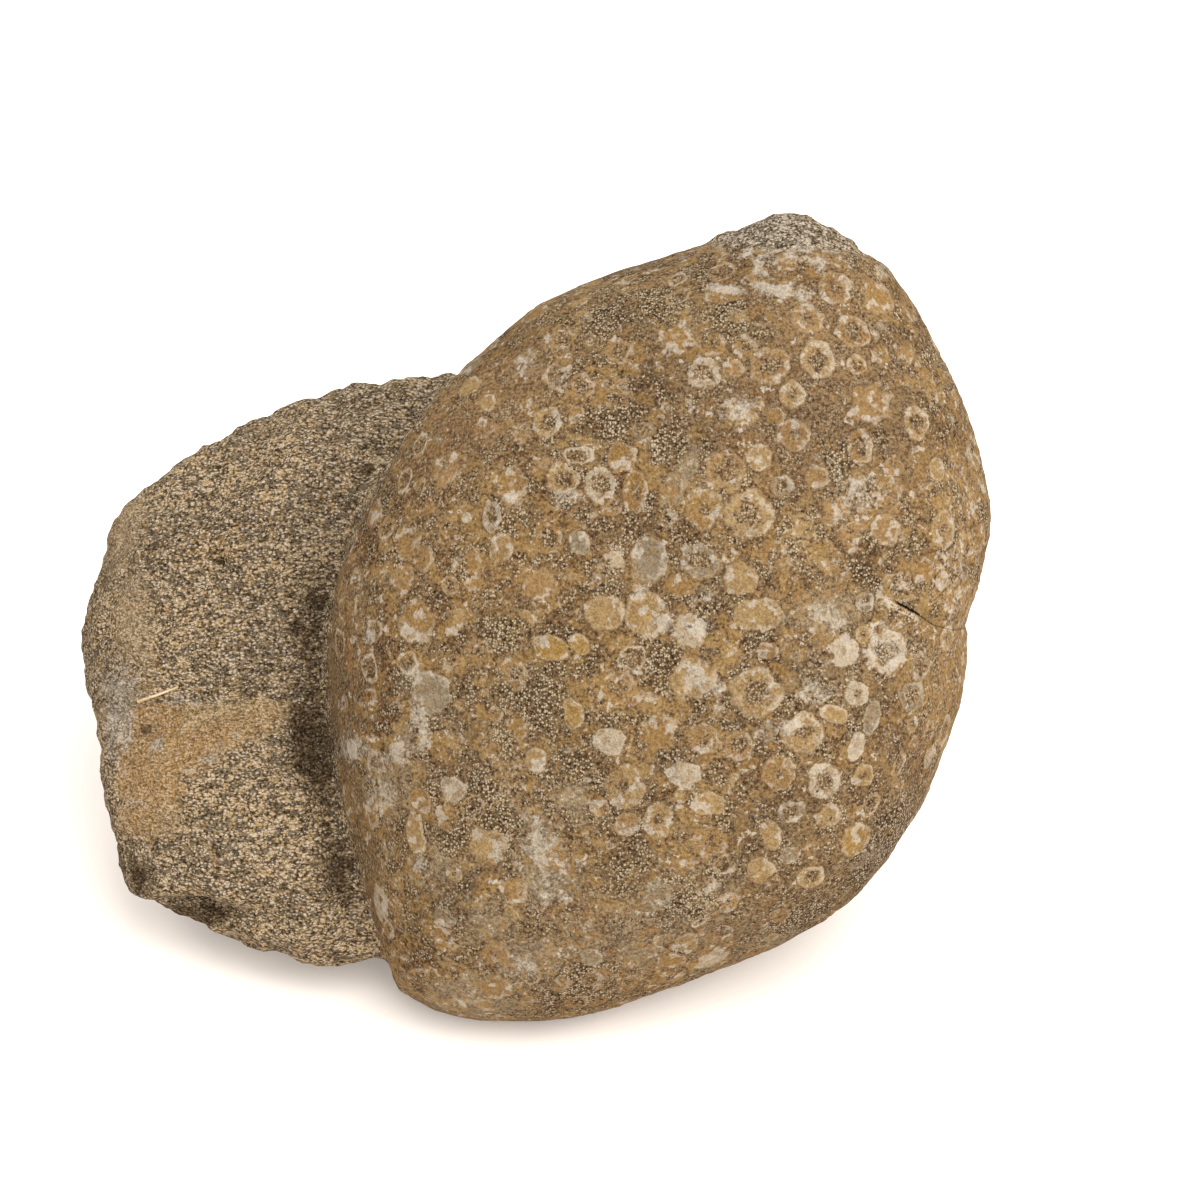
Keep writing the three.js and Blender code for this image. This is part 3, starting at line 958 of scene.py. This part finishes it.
        # Rays, then the chalky inner edge, the pale rim line, the dark moat round it, and the brown core.
        wave = s.calc("SINE", s.linear(s.calc("ARCTAN2", y, x), 22.0, s.times(t.blotch, 14.0)))
        stripe = s.times(s.ramp(wave, -0.3, 0.9), rays, inside, s.ramp(radius, 0.15, 0.5), strength)
        colour = s.mix(s.times(stripe, 0.42), colour, self.umber)
        edge = s.times(s.band(radius, 0.8, 0.05, 0.3), side, fill)
        colour = s.mix(s.times(edge, 0.4), colour, self.chalk)
        clear = s.times(s.ramp(strength, 0.45, 0.95), s.ramp(worn, 0.2, 0.9))
        line = s.times(s.band(radius, 0.9, 0.02, 0.13), clear, s.linear(side, 0.4, 0.22))
        colour = s.mix(line, colour, self.grain)
        moat = s.times(s.band(radius, 1.1, 0.0, 0.12), clear, s.ramp(veil, 0.64, 0.45), 0.7)
        colour = s.mix(moat, colour, self.umber)
        core = s.times(s.calc("SUBTRACT", 1.0, beyond_core), inside, grit, s.ramp(strength, 0.1, 0.6))
        return s.mix(s.times(core, 0.5), colour, self.brown), fill, core

    def _sand(self, s: Sketch, t: Textures) -> Socket:
        """Draws the sandy matrix: its smooth bedding patch, pale grains, and dark spaces partly painted as
        shade.

        Args:
            s: the material.
            t: its shared textures.

        Returns:
            The matrix's colour.
        """
        broad = s.noise(16, 6, 2)
        clump = s.noise(1.5, 22, 3, 0.7, where=s.vector("MULTIPLY", s.place, (0.6, 1.0, 1.15)))
        smooth = s.ragged("bed", s.sway(t.blotch, clump, 0.7), 1.5)
        rim = s.ragged("grey", t.blotch)
        shadow = s.ragged("dark", t.blotch)
        rough = s.linear(s.larger(smooth, rim), -0.5, 1.0)
        colour = s.mix(s.ramp(broad, 0.38, 0.62), self.sand, self.sand_dim)
        colour = s.mix(s.times(rim, 0.5), colour, self.sand_grey)
        colour = s.mix(s.times(s.ragged("ochre", t.blotch), 0.6), colour, self.bed)
        colour = s.mix(s.times(s.ramp(t.blotch, 0.52, 0.66), 0.35), colour, self.bed)
        cloudy = s.ramp(s.linear(broad, 0.6, s.times(clump, 0.4)), 0.46, 0.58)
        colour = s.mix(s.times(smooth, 0.85), colour, s.mix(cloudy, self.bed, self.bed_pale))
        colour = s.mix(s.times(s.ragged("white", clump, 2.6), 0.75), colour, self.chalk)
        # The dark stain deepens the sand: painted shade in the groove, the notch and the pits, and a darker
        # lower left edge.
        colour = s.mix(s.times(shadow, 0.8), colour, self.sand_deep)
        light = s.times(s.ramp(t.gap, 0.6, 0.3), s.ramp(s.linear(clump, 0.8, t.shade[0]), 0.7, 0.95), rough)
        colour = s.mix(s.times(light, s.linear(shadow, -0.75, 1.0)), colour, self.sand_light)
        # Painted shade in the spaces between grains, over the sand's own darker colour.
        shaded_hollow = s.linear(s.calc("SUBTRACT", 0.5, clump), 1.7, t.gap)
        shaded_hollow = s.ramp(s.linear(t.shade[1], 0.4, shaded_hollow), 0.52, 0.85)
        colour = s.mix(s.times(shaded_hollow, rough, 0.92), colour, self.sand_dark)
        pale = s.mix(s.linear(shadow, -0.15, 0.25), colour, self.sand_light)
        return s.mix(s.ramp(t.speck, 0.34, 0.66), s.mix(0.4, colour, self.sand_dark), pale)

    def _crack(self, s: Sketch, colour: Socket, speck: Socket) -> Socket:
        """Draws the fine crack, filled with painted shade, with its pale lower lip.

        Args:
            s: the material.
            colour: the colour so far.
            speck: noise of about 1 mm.

        Returns:
            The colour with the crack in it.
        """
        along, level, _ = s.parts(s.map("crack"))
        across = s.sway(level, speck, 0.9)
        width = s.times(s.ramp(along, 6.8, 9.2), s.ramp(along, 11.5, 15.0, 0.27, 0.09))
        # Painted shade: the crack is filled with a very dark colour where it is open.
        shaded_opening = s.ramp(s.calc("SUBTRACT", s.calc("ABSOLUTE", across), width), -0.12, 0.1, 1.0, 0.0)
        shaded_opening = s.times(shaded_opening, s.ramp(width, 0.02, 0.12))
        lip = s.times(s.band(across, -0.9, 0.2, 0.7), s.ramp(along, 4.2, 6.0))
        lip = s.times(lip, s.ramp(along, 12.5, 14.5, 1.0, 0.0), s.ramp(speck, 0.4, 0.55))
        return s.mix(shaded_opening, s.mix(s.times(lip, 0.7), colour, self.grain), self.crack_shade)


@dataclass(frozen=True)
class DryStraw:
    """A dry pale stem."""

    pale: tuple[float, ...] = paint(286, 272, 232)
    dull: tuple[float, ...] = paint(242, 220, 174)
    relief: float = 0.05

    def make(self) -> bpy.types.Material:
        """Draws the finish, streaked along the stem.

        Returns:
            The finished material.
        """
        s = Sketch("dry_straw")
        fibre = s.noise(0.5, 3, 3, where=s.vector("MULTIPLY", s.place, (0.12, 0.5, 1.0)))
        colour = s.mix(s.ramp(fibre, 0.35, 0.65), self.dull, self.pale)
        rough = s.ramp(fibre, 0.3, 0.7, 0.55, 0.75)
        s.dress({"Base Color": colour, "Roughness": rough, "Normal": s.bump(self.relief * MM, fibre)})
        return s.material


# ------------------------------------------------------------------------------------------- the stone


@dataclass
class Colony:
    """The coral's tubes and where each meets the surface.

    Attributes:
        centres: their middles in millimetres, one row a tube.
        ups: their up directions along the surface.
        outs: their outward directions.
        tubes: the tubes themselves.
    """

    centres: np.ndarray
    ups: np.ndarray
    outs: np.ndarray
    tubes: list[Tube]

    def local(self, points: np.ndarray, near: np.ndarray) -> np.ndarray:
        """Turns points into their tube's own flat coordinates, where its rim is at a radius of 1.

        Args:
            points: places in millimetres.
            near: the number of the tube that each belongs to.

        Returns:
            One [across, up] row a point.
        """
        rights = np.cross(self.ups, self.outs)
        offset = points - self.centres[near]
        x = np.einsum("ij,ij->i", offset, rights[near])
        y = np.einsum("ij,ij->i", offset, self.ups[near])
        turn = np.radians([t.turn for t in self.tubes])[near]
        radius = np.array([t.radius for t in self.tubes])[near]
        tall = np.array([t.tall for t in self.tubes])[near]
        across = (x * np.cos(turn) + y * np.sin(turn)) / radius
        up = (y * np.cos(turn) - x * np.sin(turn)) / (radius * tall)
        return np.stack([across, up], axis=1)

    def nearest(self, points: np.ndarray) -> tuple[np.ndarray, np.ndarray]:
        """Finds the tube that each point belongs to.

        Args:
            points: places in millimetres.

        Returns:
            The tube's number for each point, and the distance in tube radii.
        """
        tree = KDTree(len(self.centres))
        for number, centre in enumerate(self.centres):
            tree.insert(centre, number)
        tree.balance()
        radii = np.array([t.radius * max(1.0, 0.8 * t.tall) for t in self.tubes])
        near = np.zeros(len(points), dtype=int)
        share = np.full(len(points), FAR_AWAY)
        for i, point in enumerate(points):
            for _, number, gap in tree.find_n(point, 3):
                if gap / radii[number] < share[i]:
                    share[i] = gap / radii[number]
                    near[i] = number
        return near, share


@dataclass
class CoralStone:
    """The boulder: the CAD solid, subdivided, weathered, carved and set with coral tubes.

    Attributes:
        name: the finished piece's name.
        levels: how often the CAD solid is subdivided.
        facet: the size of the remeshed faces in millimetres.
        random_tubes: how many faint tubes are scattered at most.
        tries: how many places are tried for them.
        tube_gap: how close they may come to others, as a share of both radii.
        smallest: the smallest of them, in millimetres.
        largest: the largest.
        reach: how many radii out a tube still marks the surface.
    """

    name: str = "coral_stone"
    levels: int = 1
    facet: float = 0.94
    random_tubes: int = 520
    tries: int = 9000
    tube_gap: float = 0.97
    smallest: float = 1.5
    largest: float = 4.0
    reach: float = 2.2
    piece: Piece | None = None

    def build(self, solid: bpy.types.Object) -> bpy.types.Object:
        """Makes the finished stone.

        Args:
            solid: the CAD node.

        Returns:
            The stone's object.
        """
        self.piece = self._copy(solid)
        self.piece.apply("SUBSURF", levels=self.levels, render_levels=self.levels)
        self.piece.apply("REMESH", mode="VOXEL", voxel_size=self.facet * MM, adaptivity=0.0)
        LOG.info("remeshed: %d faces", len(self.piece.mesh.polygons))
        self._weather()
        colony = self._place_tubes()
        self._raise_tubes(colony)
        self._mark(colony)
        self.piece.select_only()
        bpy.ops.object.shade_smooth()
        self.piece.mesh.materials.clear()
        self.piece.mesh.materials.append(FossilLimestone().make())
        return self.piece.obj

    def _copy(self, solid: bpy.types.Object) -> Piece:
        """Copies the CAD solid and merges its loose triangles.

        Args:
            solid: the CAD node.

        Returns:
            The copy, to work on.
        """
        obj = bpy.data.objects.new(self.name, solid.data.copy())
        bpy.context.scene.collection.objects.link(obj)
        piece = Piece(obj)
        piece.select_only()
        bpy.ops.object.mode_set(mode="EDIT")
        bpy.ops.mesh.select_all(action="SELECT")
        bpy.ops.mesh.remove_doubles(threshold=0.01 * MM)
        bpy.ops.object.mode_set(mode="OBJECT")
        return piece

    def _weather(self) -> None:
        """Wears the surface: softly on the coral, strongly on the matrix, and not where it rests."""
        points = self.piece.points()
        face = FACE.to_face(points)
        clear = np.clip(points[:, 2] / MM / 4, 0, 1)
        sandy = np.clip(0.5 - coral_depth(face) / 3, 0, 1)
        calm = 0.8 * lumps(points, 21, 1) + 0.4 * lumps(points, 8, 2) + 0.14 * lumps(points, 2.4, 3)
        rough = 1.7 * lumps(points, 15, 4) + 1.1 * lumps(points, 6.5, 5) + 0.7 * lumps(points, 3.1, 6)
        rough = rough + 0.35 * lumps(points, 1.7, 7)
        heights = clear * (calm * (1 - sandy) + rough * sandy)
        self.piece.press("weathering", heights + self._carving(face))

    @staticmethod
    def _carving(face: np.ndarray) -> np.ndarray:
        """Works out the forms that stand in set places: groove, crack, bed, notch, crest, ridge and pebbles.

        Args:
            face: the vertices in face coordinates.

        Returns:
            One height a vertex, in millimetres.
        """
        x, y, out = face.T
        along, across = along_and_across(face[:, :2], SEAM)
        groove = np.exp(-((across + 2.5) / np.where(across < -2.5, 5.0, 2.2)) ** 2)
        groove = 3.6 * groove * np.clip((out + 45) / 10, 0, 1) * np.interp(along, *GROOVE_DEPTH.T)
        front = np.clip((out + 14) / 4, 0, 1)
        run, off = along_and_across(face[:, :2], CRACK)
        crack = np.interp(run, *CRACK_DEPTH.T) * np.exp(-(off / 0.7) ** 2) * front
        bed = np.clip(0.5 + along_and_across(face[:, :2], BED)[1] / 1.2, 0, 1) * np.clip((y + 26) / 9, 0, 1)
        notch = np.exp(-((x + 88) / 9) ** 2 - ((y + 52.5) / 2.4) ** 2)
        crest = np.exp(-((x + 66) / 20) ** 2) * np.clip((y - 28 - 0.35 * (x + 84)) / 8, 0, 1)
        ridge = np.exp(-((x - 23) / 13) ** 2) * np.clip((y - 73) / 2, 0, 1)
        heights = -groove - crack - front * (0.9 * bed + 5.2 * notch)
        heights = heights - 1.4 * crest * np.clip(-across / 5, 0, 1) + ridge
        for knob in KNOBS:
            gap = np.hypot(x - knob.across, y - knob.up) / knob.radius
            heights = heights + front * knob.rise * np.exp(-gap * gap)
        # The right edge steps back above the crack.
        rim = np.exp(-((x - 62) / 5) ** 2)
        above = np.clip((y - 2) / 0.9, 0, 1) * np.exp(-((y - 2) / 9) ** 2)
        return heights - 0.7 * rim * above

    def _place_tubes(self) -> Colony:
        """Finds where each coral tube meets the surface, and scatters faint ones between them.

        Returns:
            The whole colony.
        """
        tree = self.piece.tree()
        centres, normals, tubes = [], [], []
        for tube in TUBES:
            place, normal = meet(tree, tube.across, tube.up)
            if place is not None:
                centres.append(np.array(place) / MM)
                normals.append(np.array(normal))
                tubes.append(tube)
        self._scatter_tubes(centres, normals, tubes)
        outs = np.array(normals)
        ups = np.cross(outs, FACE.axes()[0])
        ups /= np.linalg.norm(ups, axis=1)[:, None]
        return Colony(np.array(centres), ups, outs, tubes)

    def _scatter_tubes(self, centres: list[np.ndarray], normals: list[np.ndarray], tubes: list[Tube]) -> None:
        """Fills the coral between the placed tubes with fainter ones, none over another.

        Args:
            centres: middles of the tubes so far, which grows.
            normals: their outward directions, which grows.
            tubes: the tubes so far, which grows.
        """
        rng = np.random.default_rng(SEED)
        middles = self.piece.points()[self.piece.faces()].mean(axis=1) / MM
        depth = coral_depth(FACE.to_face(middles * MM))
        facing = self.piece.normals()
        spots = rng.permutation(np.flatnonzero((depth > 1.5) & (middles[:, 2] > 3)))
        radii = [t.radius * max(1.0, 0.9 * t.tall) for t in tubes]
        looks, tones = tuple(LOOK_SHARES), tuple(TONE_SHARES)
        added = 0
        for spot in spots[:self.tries]:
            radius = float(np.clip(rng.normal(2.6, 0.6), self.smallest, self.largest))
            gaps = np.linalg.norm(np.array(centres) - middles[spot], axis=1)
            if np.any(gaps < self.tube_gap * (np.array(radii) + radius)):
                continue
            look = looks[rng.choice(len(looks), p=tuple(LOOK_SHARES.values()))]
            tone = tones[rng.choice(len(tones), p=tuple(TONE_SHARES.values()))]
            strength = float(np.clip(rng.beta(1.5, 2.6), 0.05, 0.85))
            tall = float(rng.uniform(0.85, 1.3))
            turn = float(rng.uniform(-90, 90))
            centres.append(middles[spot])
            normals.append(facing[spot])
            radii.append(radius)
            tubes.append(Tube(0, 0, radius, look, tone, strength, tall, turn))
            added += 1
            if added >= self.random_tubes:
                break
        LOG.info("%d tubes placed, %d scattered", len(tubes) - added, added)

    def _raise_tubes(self, colony: Colony) -> None:
        """Lets each tube's wall stand out a little and its core sink.

        Args:
            colony: the coral's tubes.
        """
        points = self.piece.points()
        depth = coral_depth(FACE.to_face(points))
        places = points / MM
        near, share = colony.nearest(places)
        radius = np.hypot(*colony.local(places, near).T)
        hole = np.array([t.look.value[0] for t in colony.tubes])[near]
        strength = np.array([t.strength for t in colony.tubes])[near] * (share < 1.6) * (depth > 0)
        wall = np.exp(-((radius - 0.85) / 0.16) ** 2)
        core = np.clip((hole - radius) / 0.2, 0, 1)
        moat = np.exp(-((radius - 1.15) / 0.12) ** 2)
        self.piece.press("tube relief", strength * (0.26 * wall - 0.3 * core - 0.1 * moat))

    def _mark(self, colony: Colony) -> None:
        """Stores what the finish reads: zones, patches, the bed, each face's own tube, and the crack.

        Args:
            colony: the coral's tubes.
        """
        points = self.piece.points()
        face = FACE.to_face(points)
        seen = FACE.seen(face)
        front = np.clip((face[:, 2] + 30) / 10, 0, 1)
        self.piece.store("coral", coral_depth(face))
        for kind in Stain:
            self.piece.store(kind.value, self._stain(kind, face, seen) * front)
        self.piece.store("bed", np.clip(0.55 + along_and_across(seen, BED)[1] / 4.5, 0, 1) * front)
        corners = self.piece.faces()
        near, share = colony.nearest(points[corners].mean(axis=1) / MM)
        own = np.repeat(near, 4)
        local = colony.local(points[corners.ravel()] / MM, own)
        local[np.repeat(share > self.reach, 4)] = FAR_AWAY
        along, across = along_and_across(seen, CRACK)
        crack = np.stack([along, np.where(face[:, 2] < -12, FAR_AWAY, across)], axis=1)
        layers = self.piece.mesh.uv_layers
        for name in [layer.name for layer in layers]:
            layers.remove(layers[name])
        self.piece.store_map("tube", local)
        self.piece.store_map("crack", crack[corners.ravel()])
        tones = np.array([(*t.tone.value[:3], t.strength) for t in colony.tubes])
        looks = np.array([t.look.value for t in colony.tubes])
        self.piece.store_corners("tone", "FLOAT_COLOR", "color", tones[own])
        self.piece.store_corners("look", "FLOAT_VECTOR", "vector", looks[own])

    @staticmethod
    def _stain(kind: Stain, face: np.ndarray, seen: np.ndarray) -> np.ndarray:
        """Adds up one kind of patch; the dark kind also gets painted shade along the groove and in the pits.

        Args:
            kind: the stain.
            face: the vertices in face coordinates.
            seen: where each is seen on the plane of the face.

        Returns:
            How strong the stain is at each vertex.
        """
        total = np.zeros(len(face))
        for patch in PATCHES[kind]:
            turn = math.radians(patch.turn)
            offset = seen - np.array([patch.across, patch.up])
            x = (offset[:, 0] * math.cos(turn) + offset[:, 1] * math.sin(turn)) / patch.wide
            y = (offset[:, 1] * math.cos(turn) - offset[:, 0] * math.sin(turn)) / patch.high
            total = np.maximum(total, patch.amount * np.exp(-0.7 * (x * x + y * y)))
        # Painted shade: the dark kind also darkens the groove along the seam and each pit.
        if kind is Stain.DARK:
            along, across = along_and_across(face[:, :2], SEAM)
            groove = np.exp(-((across + 3) / np.where(across < -3, 6.0, 2.6)) ** 2)
            total = np.maximum(total, np.interp(along, *SEAM_SHADE.T) * groove)
            for pit in (knob for knob in KNOBS if knob.rise < 0):
                gap = np.hypot(seen[:, 0] - pit.across, seen[:, 1] - pit.up) / pit.radius
                total = np.maximum(total, 1.6 * np.exp(-gap * gap))
        return total


@dataclass
class StrawBit:
    """A bit of dry straw that lies on the lobe.

    Attributes:
        name: the piece's name.
        start: its thick end, in millimetres across and up the coral face.
        end: its thin end.
        radius: half its thickness at the thick end, in millimetres.
        lift: how far its middle line is off the stone, in radii.
        bow: how far it bends sideways, in millimetres.
        taper: how much thinner its far end is.
        rings: how many lengths it is cut into.
        sides: how many sides it has.
    """

    name: str = "straw_bit"
    start: tuple[float, float] = (-98.0, -11.6)
    end: tuple[float, float] = (-90.4, -8.8)
    radius: float = 0.34
    lift: float = 1.6
    bow: float = 0.07
    taper: float = 0.45
    rings: int = 9
    sides: int = 10

    def build(self, stone: bpy.types.Object) -> bpy.types.Object:
        """Makes the straw and lays it on the stone.

        Args:
            stone: the finished stone.

        Returns:
            The straw's object.
        """
        line = self._resting_line(Piece(stone))
        bpy.ops.object.select_all(action="DESELECT")
        bpy.ops.mesh.primitive_cylinder_add(vertices=self.sides, radius=self.radius * MM, depth=1.0,
                                            end_fill_type="NGON")
        piece = Piece(bpy.context.object)
        piece.obj.name = self.name
        bpy.ops.object.mode_set(mode="EDIT")
        bpy.ops.mesh.select_all(action="SELECT")
        for cut in range(1, self.rings):
            bpy.ops.mesh.bisect(plane_co=(0, 0, cut / self.rings - 0.5), plane_no=(0, 0, 1))
            bpy.ops.mesh.select_all(action="SELECT")
        bpy.ops.object.mode_set(mode="OBJECT")
        self._lay(piece, line)
        piece.select_only()
        bpy.ops.object.shade_smooth_by_angle(angle=math.radians(50))
        piece.mesh.materials.append(DryStraw().make())
        return piece.obj

    def _resting_line(self, stone: Piece) -> np.ndarray:
        """Finds the straight line along which the straw lies on the stone's highest spots.

        Args:
            stone: the finished stone.

        Returns:
            The straw's middle line in metres, one row a ring.
        """
        tree = stone.tree()
        first, last = np.array(self.start), np.array(self.end)
        places = []
        for share in np.linspace(0, 1, self.rings + 1):
            place, normal = meet(tree, *(first + (last - first) * share))
            places.append(np.array(place) + np.array(normal) * self.radius * MM * self.lift)
        line = np.array(places)
        chord = line[0] + (line[-1] - line[0]) * np.linspace(0, 1, len(line))[:, None]
        out = FACE.axes()[2]
        return chord + out * float(np.max((line - chord) @ out))

    def _lay(self, piece: Piece, line: np.ndarray) -> None:
        """Lays the upright stem along a line, a little bowed and tapered to its far end.

        Args:
            piece: the straw, one metre tall.
            line: the middle line in metres.
        """
        points = piece.points()
        share = points[:, 2] + 0.5
        run = line[-1] - line[0]
        run = run / np.linalg.norm(run)
        side = np.cross(run, FACE.axes()[2])
        side = side / np.linalg.norm(side)
        top = np.cross(side, run)
        at = share * (len(line) - 1)
        low = np.clip(np.floor(at).astype(int), 0, len(line) - 2)
        middle = line[low] + (line[low + 1] - line[low]) * (at - low)[:, None]
        bow = self.bow * MM * np.sin(share * math.pi)
        taper = 1.0 - self.taper * share
        laid = middle + side * (points[:, 0] * taper + bow)[:, None] + top * (points[:, 1] * taper)[:, None]
        piece.mesh.vertices.foreach_set("co", laid.ravel())
        piece.mesh.update()


# --------------------------------------------------------------------------------------------- studio


@dataclass(frozen=True)
class Softbox:
    """A square soft light: where it hangs and its side, both in metres, and its power in watts."""

    name: str
    place: tuple[float, float, float]
    side: float
    power: float

    def hang(self) -> None:
        """Hangs the light so that it looks at the stone."""
        data = bpy.data.lights.new(self.name, "AREA")
        data.size = self.side
        data.energy = self.power
        lamp = bpy.data.objects.new(self.name, data)
        bpy.context.scene.collection.objects.link(lamp)
        lamp.location = self.place
        aim = Vector((0.0, 0.0, 0.05)) - Vector(self.place)
        lamp.rotation_euler = aim.to_track_quat("-Z", "Y").to_euler()


@dataclass(frozen=True)
class Studio:
    """Plain white floor, soft lights overhead and at the side, even fill, and a camera square to the face.

    Attributes:
        lights: the soft lights.
        floor_size: the floor's side in metres.
        frame_width: how much the picture takes in at the stone, in millimetres.
        sensor: the camera's sensor width in millimetres.
        fill: how strong the even light from all round is.
        glow: how much the floor lights itself, so that it shows as plain white.
    """

    lights: tuple[Softbox, ...] = (
        Softbox("key softbox", (0.45, -0.55, 1.25), 1.2, 22.0),
        Softbox("side softbox", (1.1, -0.25, 0.4), 0.8, 2.5),
    )
    floor_size: float = 6.0
    frame_width: float = 228.0
    sensor: float = 36.0
    fill: float = 1.12
    glow: float = 0.2

    def build(self) -> None:
        """Sets the floor, the lights and the camera."""
        self._floor()
        for light in self.lights:
            light.hang()
        world = bpy.data.worlds.new("studio")
        world.use_nodes = True
        background = world.node_tree.nodes["Background"]
        background.inputs["Color"].default_value = (1.0, 1.0, 1.0, 1.0)
        background.inputs["Strength"].default_value = self.fill
        bpy.context.scene.world = world
        bpy.context.scene.view_settings.view_transform = "Standard"
        self._camera()

    def _floor(self) -> None:
        """Lays the floor that the stone rests on."""
        bpy.ops.object.select_all(action="DESELECT")
        bpy.ops.mesh.primitive_plane_add(size=self.floor_size, location=(0, 0, 0))
        floor = bpy.context.object
        floor.name = "studio_floor"
        s = Sketch("white_floor")
        white = s.mix(s.noise(90, 1.0, 2.0), srgb(240, 231, 222), srgb(244, 236, 228))
        s.dress({"Base Color": white, "Roughness": 0.7, "Specular IOR Level": 0.2,
                 "Emission Color": (1.0, 0.95, 0.9, 1.0), "Emission Strength": self.glow})
        floor.data.materials.append(s.material)

    def _camera(self) -> None:
        """Sets the camera square to the coral face."""
        data = bpy.data.cameras.new("camera")
        data.sensor_width = self.sensor
        data.lens = self.sensor * FACE.viewer[2] / self.frame_width
        data.clip_end = 20.0
        camera = bpy.data.objects.new("camera", data)
        bpy.context.scene.collection.objects.link(camera)
        camera.location = Vector(FACE.to_row(np.array(FACE.viewer)))
        camera.rotation_euler = Vector(-FACE.axes()[2]).to_track_quat("-Z", "Y").to_euler()
        bpy.context.scene.camera = camera


def main() -> None:
    """Builds the stone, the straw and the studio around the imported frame."""
    logging.basicConfig(level=logging.INFO, format="%(message)s")
    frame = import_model()
    stone = CoralStone().build(frame["nodes"]["coral_head"])
    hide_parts("coral_head")
    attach(stone, "root")
    LOG.info("coral_stone: %d faces", len(stone.data.polygons))
    straw = StrawBit().build(stone)
    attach(straw, "root")
    LOG.info("straw_bit: %d faces", len(straw.data.polygons))
    Studio().build()


if __name__ == "__main__":
    main()
